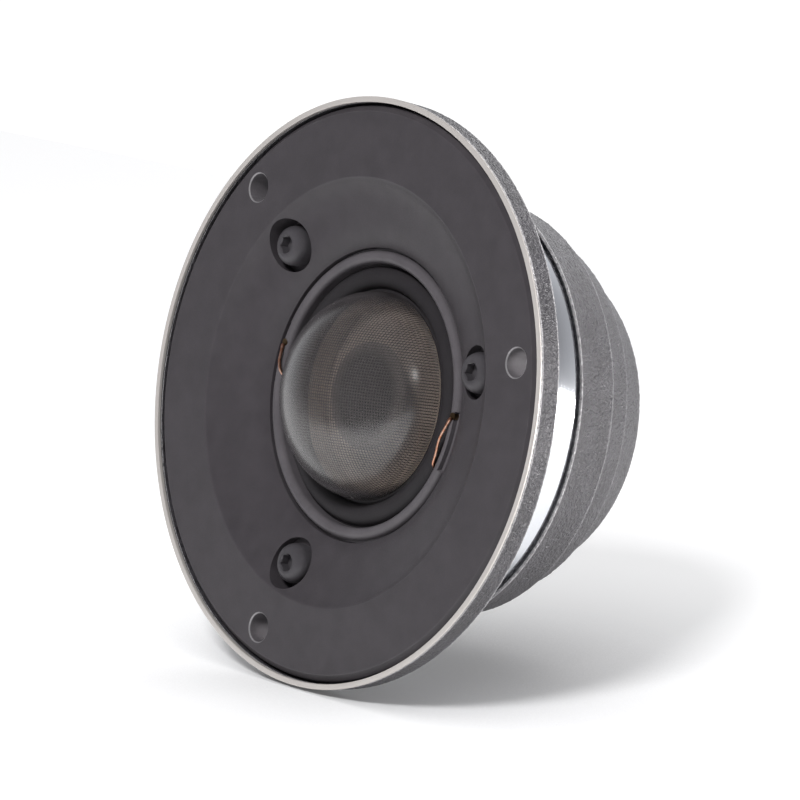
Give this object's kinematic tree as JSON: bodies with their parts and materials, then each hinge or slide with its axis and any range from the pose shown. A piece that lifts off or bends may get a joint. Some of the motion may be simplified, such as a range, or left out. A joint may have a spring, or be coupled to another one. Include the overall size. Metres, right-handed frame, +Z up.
{
  "type": "car tweeter",
  "caption": "Round soft dome tweeter with a dished black face plate in a cast flange and a stepped sealed rear chamber.",
  "frame": {"origin": "centre of the flange's seating face, which is where it rests on the panel", "axes": "-Y points out of the front towards the listener, +Y to the rear, +Z up, +X to the right seen from the front"},
  "size_m": [0.08, 0.0502, 0.08],
  "materials": {
    "cast_black": "textured satin",
    "bright_trim": "satin polished",
    "plate_black": "fine matte",
    "screw_black": "black oxide",
    "lip_black": "satin",
    "frame_black": "matte",
    "brass": "satin",
    "zinc_steel": "zinc plated",
    "magnet_nickel": "nickel plated",
    "copper": "bare copper",
    "sleeve_chrome": "polished",
    "felt_black": "felt",
    "felt_white": "wool felt",
    "foam_black": "closed cell foam",
    "terminal_black": "satin",
    "terminal_gold": "gold plated",
    "terminal_tin": "tin plated",
    "wire_red": "insulation",
    "wire_black": "insulation",
    "dome_fabric": "coated woven silk",
    "surround_black": "coated cloth",
    "former_amber": "polyimide",
    "winding_copper": "enamelled wire"
  },
  "bodies": {
    "housing": {"mounting_flange": "cast_black", "trim_ring": "bright_trim", "face_plate": "plate_black", "face_screws": "screw_black", "throat_ring": "lip_black", "diaphragm_frame": "frame_black", "lead_eyelets": "brass", "top_plate": "zinc_steel", "ring_magnet": "magnet_nickel", "yoke": "zinc_steel", "copper_cap": "copper", "pole_damper": "felt_black", "motor_sleeve": "sleeve_chrome", "rear_shell": "cast_black", "chamber_gasket": "foam_black", "chamber_felt": "felt_white", "rear_screws": "screw_black", "terminal_block": "terminal_black", "terminal_positive": "terminal_gold", "terminal_negative": "terminal_tin", "terminal_rivets": "zinc_steel", "wire_positive": "wire_red", "wire_negative": "wire_black"},
    "diaphragm": {"dome": "dome_fabric", "surround": "surround_black", "voice_coil_former": "former_amber", "voice_coil_winding": "winding_copper", "coil_leads": "winding_copper"}
  },
  "joints": [
    {"name": "diaphragm_travel", "type": "slide", "parent": "housing", "child": "diaphragm", "axis": [0, -1, 0], "range_m": [-0.0005, 0.0005], "stiffness_N_per_m": 2000, "deforming": ["surround", "coil_leads"]}
  ]
}
